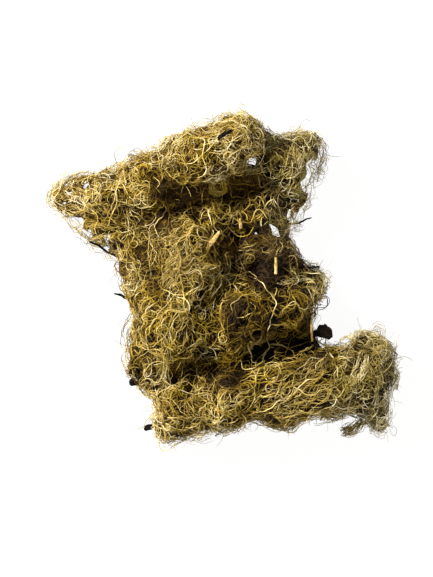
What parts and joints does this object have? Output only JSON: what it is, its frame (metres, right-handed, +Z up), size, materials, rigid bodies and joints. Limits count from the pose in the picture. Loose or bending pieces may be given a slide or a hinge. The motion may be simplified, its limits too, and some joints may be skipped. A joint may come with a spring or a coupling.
{
  "type": "beard lichen tangle on a twig",
  "caption": "Wad of dry, wiry golden-brown beard lichen grown on a broken twig, with bark flakes and splinters caught in it; lies flat.",
  "frame": {"origin": "on the resting surface, under the middle of the whole tangle's box", "axes": "+Z up from the surface; +X along the width, from the arm end towards the toe; +Y from the foot towards the crest"},
  "size_m": [0.1228, 0.1146, 0.0411],
  "materials": {
    "golden_lichen": "dry wiry strands, straw to olive gold, darker inside",
    "grey_lichen": "dry soft strands, greyer and paler",
    "brown_lichen": "fine dark brown fuzz",
    "dark_bark": "weathered dark bark, rough",
    "pale_wood": "split pale wood, matt"
  },
  "bodies": {
    "root": {"arm_end_tuft": "golden_lichen", "arm_needle": "dark_bark", "belly_tuft": "golden_lichen", "brown_tuft": "brown_lichen", "brown_tuft_stick": "pale_wood", "crest_bark_flake": "dark_bark", "crest_tuft": "golden_lichen", "foot_tuft": "golden_lichen", "gap_stick": "pale_wood", "heel_crumb": "dark_bark", "heel_tuft": "golden_lichen", "kinked_twiglet": "dark_bark", "ledge_stick": "pale_wood", "left_side_tuft": "golden_lichen", "left_twiglet": "dark_bark", "lower_arm_twiglet": "dark_bark", "nest_tuft": "golden_lichen", "pale_splinter": "pale_wood", "right_side_tuft": "grey_lichen", "right_twiglet": "dark_bark", "shoulder_tuft": "golden_lichen", "side_bark_flake": "dark_bark", "toe_tuft": "grey_lichen", "twig": "dark_bark", "twig_end_bark": "dark_bark", "twig_fork": "dark_bark", "upper_right_tuft": "grey_lichen", "waist_tuft": "golden_lichen"}
  },
  "joints": []
}
